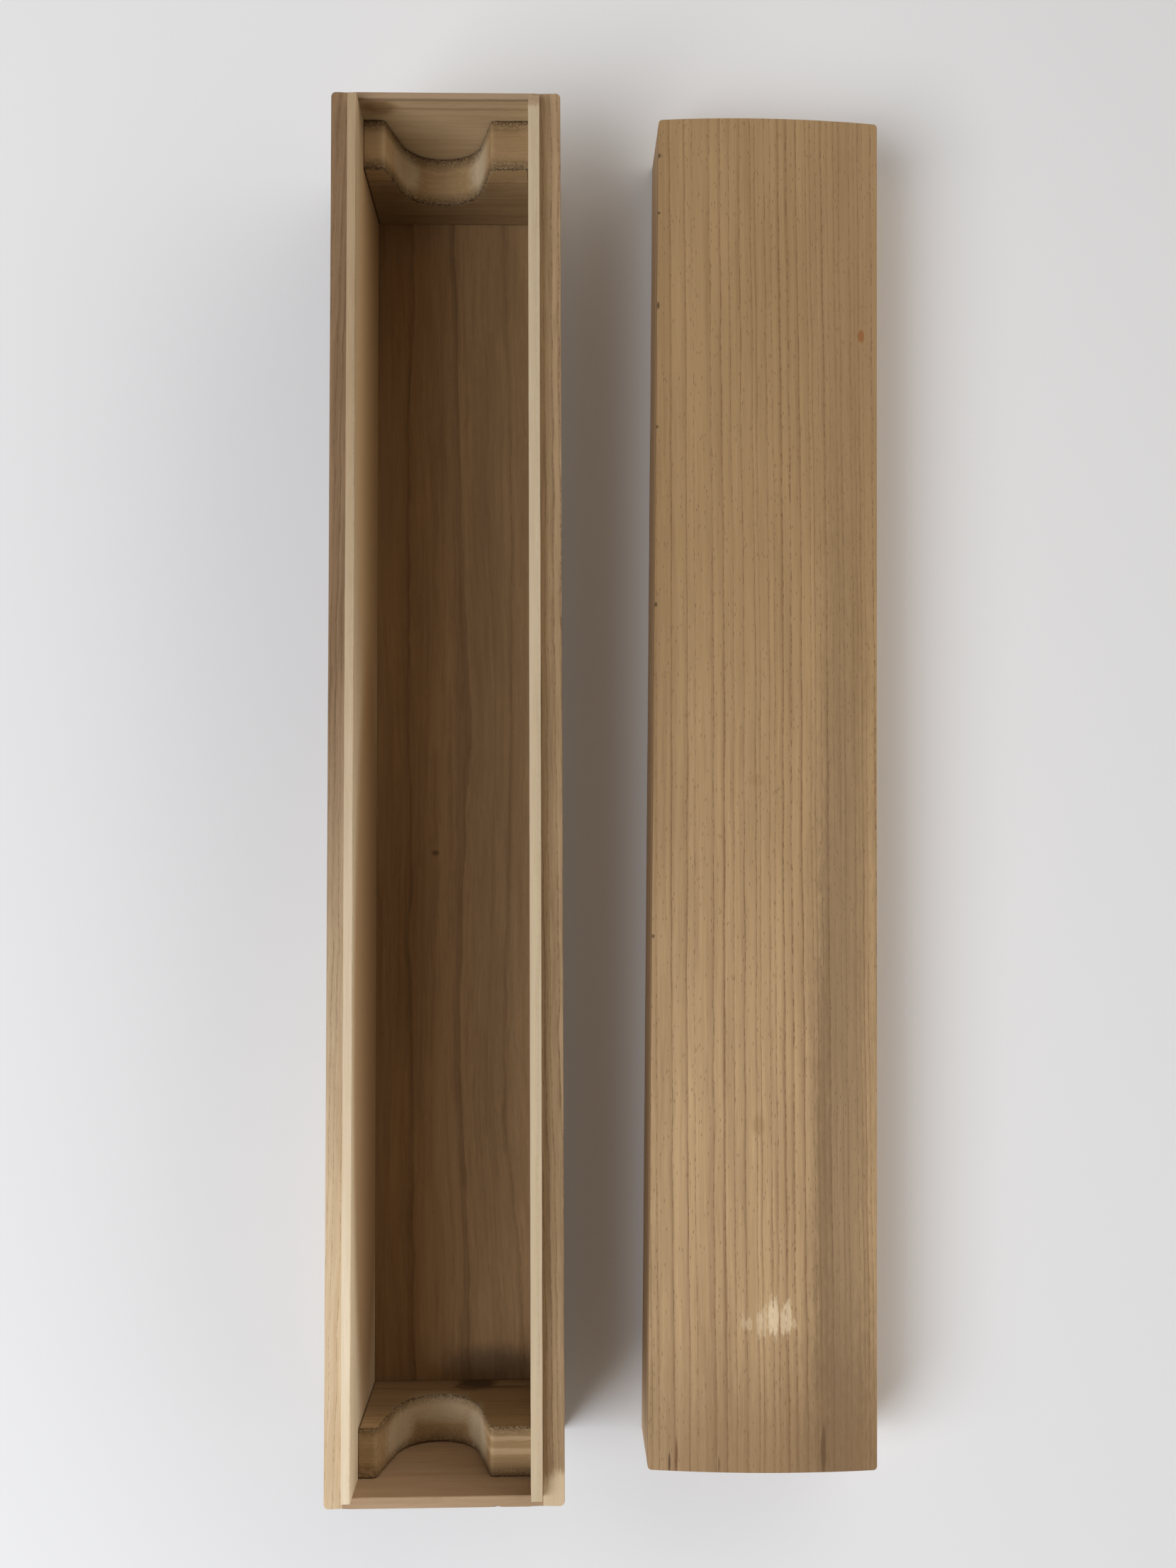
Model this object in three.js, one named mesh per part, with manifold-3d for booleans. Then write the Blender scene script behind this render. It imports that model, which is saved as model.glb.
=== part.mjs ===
// A paulownia box for one hanging scroll, with its lid lifted off and laid beside it.
// Millimetres, +Z up. The origin is the centre of the box's underside, +Y runs along the box.
import * as THREE from 'three';
import { mergeVertices } from 'three/addons/utils/BufferGeometryUtils.js';
import Module from 'manifold-3d';

const wasm = await Module();
wasm.setup();

// The box: two side boards run its full length, and the end boards stand between them.
const boxLength = 490;
const boxWidth = 81.2;
const insideDepth = 60;
const bottomThickness = 4.5;
const leftSideThickness = 6.4;
const rightSideThickness = 7.5;
const farEndThickness = 2.4;
const nearEndThickness = 3.8;
const cornerRadius = 1.4;

// The lips are thin boards that line the long walls and stand proud of the rim. Their raised
// part is cut down to the rim a step before the near end board.
const leftLipThickness = 3;
const rightLipThickness = 3.8;
const lipRise = 4.5;
const lipEase = 0.4;
const lipStep = 2.2;

// The scroll rests are blocks with a scooped U for the ends of the scroll's roller.
const farRestThickness = 18.4;
const nearRestThickness = 17;
const restHeight = 45.4;
const restEase = 0.8;
const farScoopDepth = 29;
const nearScoopDepth = 30.7;
const farScoopOffset = -4.1;
const nearScoopOffset = -4.9;
const scoopRadius = 15.5;
const scoopFlare = THREE.MathUtils.degToRad(14);
const shoulderRound = 1.3;
const shoulderFlat = 0.2;
const easeOfRound = 0.65;

// The lid: four strips under a crowned top board.
const lidStripHeight = 31;
const lidBoardEdge = 4.6;
const crownRise = 2.2;
const lidEdgeRadius = 2.6;
const lidEndRadius = 1.6;
const lidSideOverhang = 0.8;
const lidEndOverhang = 3.5;

// Fits: glued faces, a rest between the lips, and the lid's strips round the lips.
const glueLine = 0.15;
const restFit = 0.3;
const lidFit = 0.6;

// Where the lid lies: the space between it and the box, its shift along the box, its turn.
const lidAside = 33.4;
const lidShift = 2.2;
const lidTurn = THREE.MathUtils.degToRad(-0.85);

const paulownia = { roughness: 0.72, metalness: 0 };
const wallColour = 0xa38860;
const lipColour = 0xbba68a;
const floorColour = 0x8a6c48;
const restColour = 0x8f7650;
const lidColour = 0xa68965;

const arcSteps = 10;

const X = new THREE.Vector3(1, 0, 0);
const Y = new THREE.Vector3(0, 1, 0);
const Z = new THREE.Vector3(0, 0, 1);

// An outline drawn in two axes and extruded along the third, centred on the origin of that axis.
function extruded(outline, length, across, up, options = {}) {
  const along = new THREE.Vector3().crossVectors(across, up);
  const geometry = new THREE.ExtrudeGeometry(outline, {
    depth: length, bevelEnabled: false, curveSegments: arcSteps, ...options,
  });
  geometry.translate(0, 0, -length / 2);
  geometry.applyMatrix4(new THREE.Matrix4().makeBasis(across, up, along));
  return geometry;
}

// A rectangle with its own radius at each corner: low-low, high-low, high-high, low-high.
function roundedRectangle(width, height, radii) {
  const [a, b, c, d] = radii;
  const w = width / 2;
  const h = height / 2;
  const outline = new THREE.Shape();
  outline.moveTo(-w + a, -h);
  outline.lineTo(w - b, -h);
  if (b > 0) outline.absarc(w - b, -h + b, b, -Math.PI / 2, 0);
  outline.lineTo(w, h - c);
  if (c > 0) outline.absarc(w - c, h - c, c, 0, Math.PI / 2);
  outline.lineTo(-w + d, h);
  if (d > 0) outline.absarc(-w + d, h - d, d, Math.PI / 2, Math.PI);
  outline.lineTo(-w, -h + a);
  if (a > 0) outline.absarc(-w + a, -h + a, a, Math.PI, Math.PI * 1.5);
  return outline;
}

function solidOf(geometry) {
  const bare = geometry.clone();
  bare.deleteAttribute('normal');
  bare.deleteAttribute('uv');
  const merged = mergeVertices(bare, 1e-4);
  return new wasm.Manifold(new wasm.Mesh({
    numProp: 3,
    vertProperties: new Float32Array(merged.attributes.position.array),
    triVerts: new Uint32Array(merged.index.array),
  }));
}

function geometryOf(solid) {
  const mesh = solid.getMesh();
  const geometry = new THREE.BufferGeometry();
  geometry.setAttribute('position', new THREE.BufferAttribute(mesh.vertProperties, 3));
  geometry.setIndex(new THREE.BufferAttribute(mesh.triVerts, 1));
  return geometry;
}

// An upright board: its plan, with the outer corners rounded, pulled up to its height.
function uprightBoard(width, length, height, radii) {
  return extruded(roundedRectangle(width, length, radii), height, X, Y);
}

function piece(name, geometry, colour, x, y, z) {
  const material = new THREE.MeshStandardMaterial({ color: colour, ...paulownia });
  const mesh = new THREE.Mesh(geometry, material);
  mesh.name = name;
  mesh.position.set(x, y, z);
  return mesh;
}

// A long wall of the box: on which side it is, and how far its faces are from the middle.
function longWall(side, sideThickness, lipThickness) {
  const sideInner = boxWidth / 2 - sideThickness;
  const lipOuter = sideInner - glueLine;
  const lipInner = lipOuter - lipThickness;
  return { side, sideThickness, lipThickness, sideInner, lipOuter, lipInner };
}

// Heights and faces that the pieces share.
const wallFoot = bottomThickness + glueLine;
const rimHeight = bottomThickness + insideDepth;
const wallHeight = rimHeight - wallFoot;
const left = longWall(-1, leftSideThickness, leftLipThickness);
const right = longWall(1, rightSideThickness, rightLipThickness);
const farInnerFace = boxLength / 2 - farEndThickness;
const nearInnerFace = -boxLength / 2 + nearEndThickness;
const lipFarEnd = farInnerFace - glueLine;
const lipNearEnd = nearInnerFace + glueLine;

function bottomBoard() {
  const corners = Array(4).fill(cornerRadius);
  const board = uprightBoard(boxWidth, boxLength, bottomThickness, corners);
  return piece('bottom_board', board, floorColour, 0, 0, bottomThickness / 2);
}

// Corner radii of a board whose outer face is on the given side.
function outerCorners(side) {
  const outer = cornerRadius;
  return side > 0 ? [0, outer, outer, 0] : [outer, 0, 0, outer];
}

function sideBoard(name, wall) {
  const corners = outerCorners(wall.side);
  const board = uprightBoard(wall.sideThickness, boxLength, wallHeight, corners);
  const x = wall.side * (boxWidth - wall.sideThickness) / 2;
  return piece(name, board, wallColour, x, 0, wallFoot + wallHeight / 2);
}

function endBoard(name, end, thickness) {
  const width = left.sideInner + right.sideInner - 2 * glueLine;
  const board = uprightBoard(width, thickness, wallHeight, [0, 0, 0, 0]);
  const x = (right.sideInner - left.sideInner) / 2;
  const y = end * (boxLength - thickness) / 2;
  return piece(name, board, wallColour, x, y, wallFoot + wallHeight / 2);
}

// A lip board seen from the side, with its raised part cut down to the rim at the near end.
function lipOutline(length, height) {
  const end = length / 2;
  const top = height / 2;
  const outline = new THREE.Shape();
  outline.moveTo(-end, -top);
  outline.lineTo(end, -top);
  outline.lineTo(end, top);
  outline.lineTo(-end + lipStep, top);
  outline.lineTo(-end + lipStep, top - lipRise);
  outline.lineTo(-end, top - lipRise);
  return outline;
}

// A lip board: a thin upright section with its two top arrises eased, as long as the inside.
function lipBoard(name, wall) {
  const height = rimHeight + lipRise - wallFoot;
  const length = lipFarEnd - lipNearEnd;
  const arrises = roundedRectangle(wall.lipThickness, height, [0, 0, lipEase, lipEase]);
  const section = solidOf(extruded(arrises, length, X, Z));
  const side = solidOf(extruded(lipOutline(length, height), wall.lipThickness, Y, Z));
  const board = geometryOf(section.intersect(side));
  const x = wall.side * (wall.lipOuter + wall.lipInner) / 2;
  return piece(name, board, lipColour, x, (lipFarEnd + lipNearEnd) / 2, wallFoot + height / 2);
}

// The rest's face: a block as wide as the inside, with a round-bottomed scoop whose flanks
// lean out to softly rounded shoulders. Drawn with z = 0 at its foot. In a narrow box the
// shoulders and the eased edges shrink with the land that is left beside the scoop.
function restFace(scoopDepth, scoopOffset) {
  const leftEdge = restFit - left.lipInner;
  const rightEdge = right.lipInner - restFit;
  const centre = restHeight - scoopDepth + scoopRadius;
  const lean = new THREE.Vector2(Math.sin(scoopFlare), Math.cos(scoopFlare));
  const reach = scoopRadius * lean.y;
  const tangentHeight = centre - scoopRadius * lean.x;
  const shoulder = reach + (restHeight - tangentHeight) * lean.x / lean.y;
  const scoopRight = scoopOffset + shoulder;
  const scoopLeft = scoopOffset - shoulder;
  const land = Math.min(scoopLeft - leftEdge, rightEdge - scoopRight);
  const round = Math.min(shoulderRound, (land - shoulderFlat) / (1 + easeOfRound));
  const ease = Math.min(restEase, easeOfRound * round);
  const face = new THREE.Shape();
  face.moveTo(leftEdge, 0);
  face.lineTo(rightEdge, 0);
  face.lineTo(rightEdge, restHeight);
  face.lineTo(scoopRight + round, restHeight);
  face.quadraticCurveTo(scoopRight, restHeight,
    scoopRight - round * lean.x, restHeight - round * lean.y);
  face.lineTo(scoopOffset + reach, tangentHeight);
  face.absarc(scoopOffset, centre, scoopRadius, -scoopFlare, -Math.PI + scoopFlare, true);
  face.lineTo(scoopLeft + round * lean.x, restHeight - round * lean.y);
  face.quadraticCurveTo(scoopLeft, restHeight, scoopLeft - round, restHeight);
  face.lineTo(leftEdge, restHeight);
  return { face, ease };
}

function scrollRest(name, end, seat, thickness, scoopDepth, scoopOffset) {
  const { face, ease } = restFace(scoopDepth, scoopOffset);
  const block = extruded(face, thickness - 2 * ease, X, Z, {
    bevelEnabled: true, bevelThickness: ease, bevelSize: ease, bevelOffset: -ease,
    bevelSegments: 2,
  });
  const y = seat - end * (glueLine + thickness / 2);
  return piece(name, block, restColour, 0, y, wallFoot);
}

// The lid is sized from the box: its strips stand outside the lips and on the rim.
const lidWidth = boxWidth + 2 * lidSideOverhang;
const lidLength = boxLength + 2 * lidEndOverhang;
const lidFarInner = lipFarEnd + lidFit;
const lidNearInner = lipNearEnd - lidFit;

function lidSideStrip(name, wall) {
  const thickness = lidWidth / 2 - wall.lipOuter - lidFit;
  const strip = uprightBoard(thickness, lidLength, lidStripHeight, outerCorners(wall.side));
  const x = wall.side * (lidWidth - thickness) / 2;
  return piece(name, strip, lidColour, x, 0, lidStripHeight / 2);
}

function lidEndStrip(name, outerFace, innerFace) {
  const width = left.lipOuter + right.lipOuter + 2 * (lidFit - glueLine);
  const thickness = Math.abs(outerFace - innerFace);
  const strip = uprightBoard(width, thickness, lidStripHeight, [0, 0, 0, 0]);
  const x = (right.lipOuter - left.lipOuter) / 2;
  return piece(name, strip, lidColour, x, (outerFace + innerFace) / 2, lidStripHeight / 2);
}

// The top board is where three outlines meet: the crowned section with rounded long edges,
// the plan with rounded corners, and the long section with its two ends eased.
function crownedSection() {
  const half = lidWidth / 2;
  const inner = half - lidEdgeRadius;
  const crownRadius = (inner * inner + crownRise * crownRise) / (2 * crownRise);
  const crownCentre = lidBoardEdge + crownRise - crownRadius;
  const crownAngle = Math.asin(inner / crownRadius);
  const outline = new THREE.Shape();
  outline.moveTo(-half, 0);
  outline.lineTo(half, 0);
  outline.lineTo(half, lidBoardEdge - lidEdgeRadius);
  outline.absarc(inner, lidBoardEdge - lidEdgeRadius, lidEdgeRadius, 0, Math.PI / 2 - crownAngle);
  outline.absarc(0, crownCentre, crownRadius, Math.PI / 2 - crownAngle, Math.PI / 2 + crownAngle);
  outline.absarc(-inner, lidBoardEdge - lidEdgeRadius, lidEdgeRadius,
    Math.PI / 2 + crownAngle, Math.PI);
  return outline;
}

function lidTopBoard() {
  const top = lidBoardEdge + crownRise;
  const section = solidOf(extruded(crownedSection(), lidLength, X, Z));
  const corners = Array(4).fill(cornerRadius);
  const plan = solidOf(uprightBoard(lidWidth, lidLength, 2 * top, corners).translate(0, 0, top));
  const side = roundedRectangle(lidLength, top, [0, 0, lidEndRadius, lidEndRadius]);
  const profile = solidOf(extruded(side, lidWidth, Y, Z).translate(0, 0, top / 2));
  const board = geometryOf(section.intersect(plan).intersect(profile));
  return piece('lid_top_board', board, lidColour, 0, 0, lidStripHeight + glueLine);
}

const box = new THREE.Group();
box.add(
  bottomBoard(),
  sideBoard('left_side_board', left),
  sideBoard('right_side_board', right),
  endBoard('far_end_board', 1, farEndThickness),
  endBoard('near_end_board', -1, nearEndThickness),
  lipBoard('left_lip_board', left),
  lipBoard('right_lip_board', right),
  scrollRest('far_scroll_rest', 1, farInnerFace,
    farRestThickness, farScoopDepth, farScoopOffset),
  scrollRest('near_scroll_rest', -1, nearInnerFace,
    nearRestThickness, nearScoopDepth, nearScoopOffset),
);

const lid = new THREE.Group();
lid.add(
  lidTopBoard(),
  lidSideStrip('lid_left_strip', left),
  lidSideStrip('lid_right_strip', right),
  lidEndStrip('lid_far_end_strip', lidLength / 2, lidFarInner),
  lidEndStrip('lid_near_end_strip', -lidLength / 2, lidNearInner),
);
lid.position.set(boxWidth / 2 + lidAside + lidWidth / 2, lidShift, 0);
lid.rotation.z = lidTurn;

const scrollBox = new THREE.Group();
scrollBox.add(box, lid);

export default scrollBox;
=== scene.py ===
import math
import random
import bmesh
import bpy
from mathutils import Matrix, Vector


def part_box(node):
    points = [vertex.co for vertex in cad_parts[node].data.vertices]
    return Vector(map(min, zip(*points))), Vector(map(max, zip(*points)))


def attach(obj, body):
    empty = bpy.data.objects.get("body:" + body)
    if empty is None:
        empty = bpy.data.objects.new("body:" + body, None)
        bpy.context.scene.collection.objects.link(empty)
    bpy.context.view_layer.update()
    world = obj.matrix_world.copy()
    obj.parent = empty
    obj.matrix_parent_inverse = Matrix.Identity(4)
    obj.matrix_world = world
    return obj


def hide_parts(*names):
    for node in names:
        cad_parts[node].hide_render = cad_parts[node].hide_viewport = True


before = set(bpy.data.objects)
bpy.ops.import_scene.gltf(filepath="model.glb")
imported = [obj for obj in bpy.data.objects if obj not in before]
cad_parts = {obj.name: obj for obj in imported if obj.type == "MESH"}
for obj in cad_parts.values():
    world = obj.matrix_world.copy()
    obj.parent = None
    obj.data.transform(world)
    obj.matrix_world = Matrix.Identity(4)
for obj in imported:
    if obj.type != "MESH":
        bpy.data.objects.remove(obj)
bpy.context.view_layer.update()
mm = 0.001

# The box stands square. The lid lies beside it, turned a little about its middle
boxPlace = Matrix.Identity(4)
lidTurn = math.radians(-0.85)
lidLow, lidHigh = [Vector(corner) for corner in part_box("lid_top_board")]
lidMiddle = ((lidLow + lidHigh) / 2).xy.to_3d()
lidPlace = Matrix.Translation(lidMiddle) @ Matrix.Rotation(lidTurn, 4, "Z")
places = {"box": boxPlace, "lid": lidPlace}

# How the boards are worked, in mm and degrees. The arrises wear more finely, with small nicks,
# and a chip's lumps are a share of its least size
joinery = {
    "cornerRadius": 1.4, "arris": 0.2, "alongStep": 2.6, "acrossStep": 6.0,
    "wearSize": 7, "nickSize": 2.5, "nickShare": 0.6, "lumpDepth": 0.3, "lumpSize": 0.5,
    "sharpAngle": 60, "smoothAngle": 32,
}
onFace = 0.1 * mm  # closer to a face than this counts as on it


def linear(hexColour):
    # sRGB hex to the linear colour that the shader wants
    values = [int(hexColour[i:i + 2], 16) / 255 for i in (1, 3, 5)]
    return [v / 12.92 if v <= 0.04045 else ((v + 0.055) / 1.055) ** 2.4 for v in values] + [1]


def addNode(tree, kind, settings=None, links=None):
    # one node: settings are sockets or properties by name, links come from nodes or their sockets
    node = tree.nodes.new("ShaderNode" + kind)
    for name, value in (settings or {}).items():
        if isinstance(name, int) or name in node.inputs:
            node.inputs[name].default_value = value
        else:
            setattr(node, name, value)
    for socket, source in (links or {}).items():
        if isinstance(source, bpy.types.Node):
            source = source.outputs[0]
        tree.links.new(source, node.inputs[socket])
    return node


def only(piece):
    bpy.ops.object.select_all(action="DESELECT")
    piece.select_set(True)
    bpy.context.view_layer.objects.active = piece


def selectEdges(piece, test):
    # in edit mode: selects the edges that pass the test, by their place and direction
    bpy.ops.mesh.select_mode(type="EDGE")
    bpy.ops.mesh.select_all(action="DESELECT")
    mesh = bmesh.from_edit_mesh(piece.data)
    for edge in mesh.edges:
        edge.select = test(edge.verts[0].co, edge.verts[1].co)
    mesh.select_flush_mode()
    bmesh.update_edit_mesh(piece.data)


def runsAlong(start, end, axis):
    return abs((end - start).normalized()[axis]) > 0.999


def ownBox(node, place):
    # lowest and highest corner of a CAD board, measured square to its own frame
    back = place.inverted()
    points = [back @ v.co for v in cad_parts[node].data.vertices]
    low = Vector([min(p[i] for p in points) for i in range(3)])
    high = Vector([max(p[i] for p in points) for i in range(3)])
    return low, high


def swollenBox(look, place):
    # a glued board fills its glue lines: it grows on its left, right, near and far side, in mm
    low, high = ownBox(look["node"], place)
    left, right, near, far = look["swell"]
    return low - Vector((left, near, 0)) * mm, high + Vector((right, far, 0)) * mm


def applyModifier(piece, kind, settings):
    only(piece)
    modifier = piece.modifiers.new("work", kind)
    for name, value in settings.items():
        setattr(modifier, name, value)
    bpy.ops.object.modifier_apply(modifier=modifier.name)


def weather(piece, depth, size, group=""):
    # wears the surface inwards, never outwards: depth and size of the unevenness in mm
    texture = bpy.data.textures.new("unevenness", "CLOUDS")
    texture.noise_scale = size * mm
    texture.noise_depth = 2
    applyModifier(piece, "DISPLACE", {
        "texture": texture, "texture_coords": "LOCAL", "strength": depth * mm, "mid_level": 1,
        "vertex_group": group})


def markArrises(piece):
    # a vertex group of the points whose normal leans off all three axes of the board
    group = piece.vertex_groups.new(name="arrises")
    leaning = [v.index for v in piece.data.vertices if max(abs(c) for c in v.normal) < 0.97]
    group.add(leaning, 1, "REPLACE")
    return group.name


def chip(piece, at, size):
    # breaks a bit off a board: a lumpy cutter at a place, both in mm of the board's own frame
    bpy.ops.object.select_all(action="DESELECT")
    bpy.ops.mesh.primitive_ico_sphere_add(
        subdivisions=3, radius=0.5, location=Vector(at) * mm, scale=Vector(size) * mm)
    cutter = bpy.context.object
    bpy.ops.object.transform_apply(location=True, rotation=True, scale=True)
    weather(cutter, joinery["lumpDepth"] * min(size), joinery["lumpSize"] * min(size))
    applyModifier(piece, "BOOLEAN", {"operation": "DIFFERENCE", "object": cutter, "solver": "EXACT"})
    bpy.data.objects.remove(cutter)


def settle(piece, place):
    # puts a finished piece in its place, with its object at the origin, unturned and unscaled
    piece.matrix_world = place
    only(piece)
    bpy.ops.object.transform_apply(location=True, rotation=True, scale=True)
    bpy.ops.object.shade_smooth_by_angle(angle=math.radians(joinery["smoothAngle"]))


def sawnBoard(look, low, high):
    # a board from a cube, cut into small fields so that its faces and edges can be uneven
    bpy.ops.object.select_all(action="DESELECT")
    bpy.ops.mesh.primitive_cube_add(size=1, location=(low + high) / 2, scale=high - low)
    piece = bpy.context.object
    piece.name = look["name"]
    bpy.ops.object.transform_apply(location=True, rotation=True, scale=True)
    bpy.ops.object.mode_set(mode="EDIT")
    grainAxis = 0 if look["grain"] == "x" else 1
    for axis in range(3):
        step = (joinery["alongStep"] if axis == grainAxis else joinery["acrossStep"]) * mm
        cuts = round((high - low)[axis] / step) - 1
        if cuts > 0:
            selectEdges(piece, lambda start, end: runsAlong(start, end, axis))
            bpy.ops.mesh.subdivide(number_cuts=cuts)
    return piece


def roundCorners(piece, low, high, sides):
    # the upright corners of the board on the given sides, -1 left and 1 right
    faces = [high.x if side > 0 else low.x for side in sides]
    selectEdges(piece, lambda start, end: runsAlong(start, end, 2)
                and min(abs(start.x - face) for face in faces) < onFace
                and min(abs(start.y - low.y), abs(start.y - high.y)) < onFace)
    bpy.ops.mesh.bevel(offset=joinery["cornerRadius"] * mm, segments=4, affect="EDGES")


def easeArrises(piece, width):
    bpy.ops.mesh.select_all(action="DESELECT")
    bpy.ops.mesh.edges_select_sharp(sharpness=math.radians(joinery["sharpAngle"]))
    bpy.ops.mesh.bevel(offset=width * mm, segments=2, affect="EDGES")


def plank(look):
    # a straight board: outer corners rounded, arrises eased, then worn and chipped
    place = places[look["body"]]
    low, high = swollenBox(look, place)
    piece = sawnBoard(look, low, high)
    if look["outer"]:
        roundCorners(piece, low, high, look["outer"])
    easeArrises(piece, joinery["arris"])
    bpy.ops.object.mode_set(mode="OBJECT")
    for at, size in look["chips"]:
        chip(piece, at, size)
    arrises = markArrises(piece)
    weather(piece, look["wave"], look["waveSize"])
    weather(piece, look["wear"], joinery["wearSize"], arrises)
    weather(piece, joinery["nickShare"] * look["wear"], joinery["nickSize"], arrises)
    settle(piece, place)
    return piece


def dress(piece, look):
    # the material and the body it moves with; the CAD node that it stands for is hidden
    low, high = ownBox(look["node"], places[look["body"]])
    piece.data.materials.clear()
    piece.data.materials.append(woodMaterial(look, (low + high) / 2, high - low))
    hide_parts(look["node"])
    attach(piece, look["body"])


# How paulownia is built up on every board. Sizes, widths and depths are in mm, with the grain
# along y, and a pair holds the values between which something fades
paulownia = {
    "slowSize": (50, 285.7, 50), "quickSize": (11.11, 22.22, 11.11),
    "yearUnevenness": 2.8, "unevenSize": 10, "toneAtStart": 0.4, "toneAtEnd": 0.75,
    "tonesBetween": ((0.12, 0.05), (0.5, 0.1), (0.72, 0.35), (0.88, 0.8), (0.96, 1.0)),
    "fineSize": (0.4167, 16.67, 0.4167), "broadSize": (1.818, 83.33, 1.818),
    "cloudSize": (14.29, 125, 14.29),
    "meanYearTone": 0.27, "meanTone": 0.42, "fullLine": 0.4, "rowStep": 7.31,
    "dashNoise": (0.49, 0.6), "leastDash": 0.04, "poreWidth": 0.6, "poreRim": (0.3, 0.16),
    "raggedSize": (1.111, 5, 1.111), "speckSize": (0.625, 0.625, 0.625), "speckNoise": (0.34, 0.56),
    "flatFace": (0.98, 0.6), "dirt": "#3a2a18", "reliefStrength": 0.25, "reliefDepth": 0.2,
    "roughness": (0.62, 0.8), "ior": 1.45, "specular": 0.35,
}


def perMm(size):
    # the scale that gives a pattern this size in mm along each axis
    return [1 / s for s in size]


def woodMaterial(look, middle, size):
    # bare paulownia, planed or sawn: pale matt wood whose years end in a dashed brown line of
    # open pores, darkening softly towards it, with a silky fibre between
    material = bpy.data.materials.new("bare " + look["cut"] + " paulownia, " + look["name"])
    material.use_nodes = True
    tree = material.node_tree
    tree.nodes.clear()
    turn = lidTurn if look["body"] == "lid" else 0
    place = addNode(tree, "TexCoord")
    centred = addNode(tree, "Mapping", {
        "vector_type": "TEXTURE", "Location": places[look["body"]] @ middle, "Rotation": (0, 0, turn)},
        {"Vector": place.outputs["Object"]})
    # from here on all places are in mm from the board's middle, and in own the grain runs along y
    inMm = addNode(tree, "VectorMath", {"operation": "SCALE", "Scale": 1000}, {0: centred})
    grainTurn = math.pi / 2 if look["grain"] == "x" else 0
    own = addNode(tree, "Mapping", {"Rotation": (0, 0, grainTurn + math.radians(look["lean"]))},
                  {"Vector": inMm})

    # the grain wanders slowly and wiggles a little on its way along the board
    slowPlace = addNode(tree, "Mapping", {
        "Scale": perMm(paulownia["slowSize"]), "Location": (look["seed"], 0, 0)}, {"Vector": own})
    slow = addNode(tree, "TexNoise", {"Scale": 1, "Detail": 2}, {"Vector": slowPlace})
    slowShift = addNode(tree, "VectorMath", {
        "operation": "MULTIPLY_ADD", 1: [2 * look["wander"]] * 3, 2: [-look["wander"]] * 3},
        {0: slow.outputs["Color"]})
    quickPlace = addNode(tree, "Mapping", {
        "Scale": perMm(paulownia["quickSize"]), "Location": (0, look["seed"], 0)}, {"Vector": own})
    quick = addNode(tree, "TexNoise", {"Scale": 1, "Detail": 3}, {"Vector": quickPlace})
    quickShift = addNode(tree, "VectorMath", {
        "operation": "MULTIPLY_ADD", 1: [2 * look["wiggle"]] * 3, 2: [-look["wiggle"]] * 3},
        {0: quick.outputs["Color"]})
    shift = addNode(tree, "VectorMath", {"operation": "ADD"}, {0: slowShift, 1: quickShift})
    bent = addNode(tree, "VectorMath", {"operation": "ADD"}, {0: own, 1: shift})
    bentParts = addNode(tree, "SeparateXYZ", {}, {0: bent})

    # years of growth: rings round a pith along y, whose width changes across the board
    fromPith = addNode(tree, "VectorMath", {"operation": "SUBTRACT", 1: look["pith"]}, {0: bent})
    acrossGrain = addNode(tree, "VectorMath", {"operation": "MULTIPLY", 1: (1, 0, 1)}, {0: fromPith})
    radius = addNode(tree, "VectorMath", {"operation": "LENGTH"}, {0: acrossGrain})
    width = size.y / mm if look["grain"] == "x" else size.x / mm
    start = math.hypot(abs(look["pith"][0]) - width / 2, look["pith"][2])
    firstRate, lastRate = 1 / look["rings"][0], 1 / look["rings"][1]
    outFrom = addNode(tree, "Math", {"operation": "SUBTRACT", 1: start}, {0: radius.outputs["Value"]})
    rate = addNode(tree, "Math", {
        "operation": "MULTIPLY_ADD", 1: (lastRate - firstRate) / (2 * width), 2: firstRate}, {0: outFrom})
    years = addNode(tree, "Math", {"operation": "MULTIPLY"}, {0: outFrom, 1: rate})
    unequal = addNode(tree, "TexNoise", {
        "noise_dimensions": "1D", "Scale": 1 / paulownia["unevenSize"], "Detail": 2}, {"W": outFrom})
    phase = addNode(tree, "Math", {"operation": "MULTIPLY_ADD", 1: paulownia["yearUnevenness"]},
                    {0: unequal, 2: years})
    season = addNode(tree, "Math", {"operation": "FRACT"}, {0: phase})
    year = addNode(tree, "Math", {"operation": "FLOOR"}, {0: phase})
    yearTone = addNode(tree, "TexWhiteNoise", {"noise_dimensions": "1D"}, {"W": year})
    growth = addNode(tree, "ValToRGB", {}, {"Fac": season})
    ramp = growth.color_ramp
    ramp.elements[0].color = [paulownia["toneAtStart"]] * 3 + [1]
    ramp.elements[1].color = [paulownia["toneAtEnd"]] * 3 + [1]
    for position, tone in paulownia["tonesBetween"]:
        stop = ramp.elements.new(position)
        stop.color = (tone, tone, tone, 1)
    yearStrength = addNode(tree, "Math", {
        "operation": "MULTIPLY_ADD", 1: look["ringDepth"], 2: 0.5 * look["ringDepth"]},
        {0: yearTone.outputs["Value"]})
    ringShare = addNode(tree, "Math", {"operation": "MULTIPLY"}, {0: growth, 1: yearStrength})

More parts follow.
